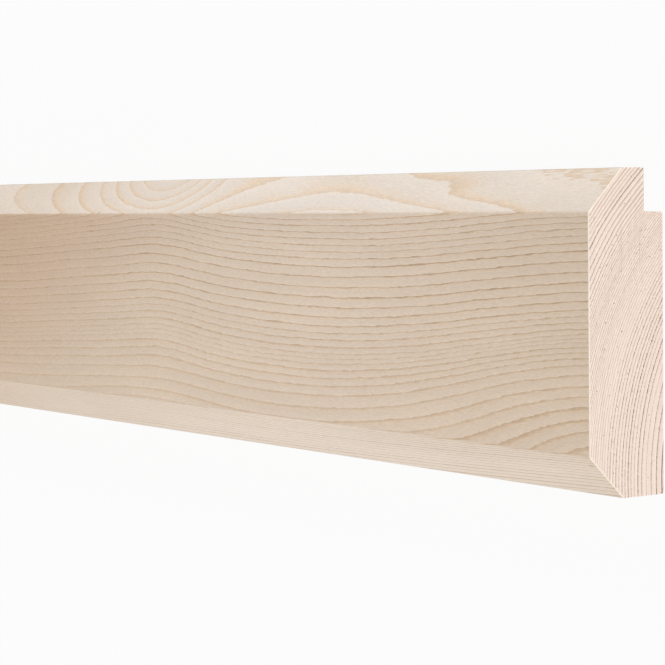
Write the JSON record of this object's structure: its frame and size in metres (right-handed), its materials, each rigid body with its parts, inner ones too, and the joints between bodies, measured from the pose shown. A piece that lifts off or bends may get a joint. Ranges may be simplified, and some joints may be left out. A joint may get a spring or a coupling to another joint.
{
  "type": "picture rail",
  "caption": "Straight softwood picture rail, chamfered along both front edges, with a rebate behind its top edge that leaves a lip for picture hooks.",
  "frame": {"origin": "middle of the length and of the height, on the plane of the wall face, which lies on the floor", "axes": "+X along the rail's length, +Y up the wall when the rail is fixed, +Z off the wall, from the wall face to the front face"},
  "size_m": [2.4, 0.069, 0.0205],
  "materials": {
    "planed_pine": "planed and unfinished, matt"
  },
  "bodies": {
    "root": {"picture_rail": "planed_pine"}
  },
  "joints": []
}
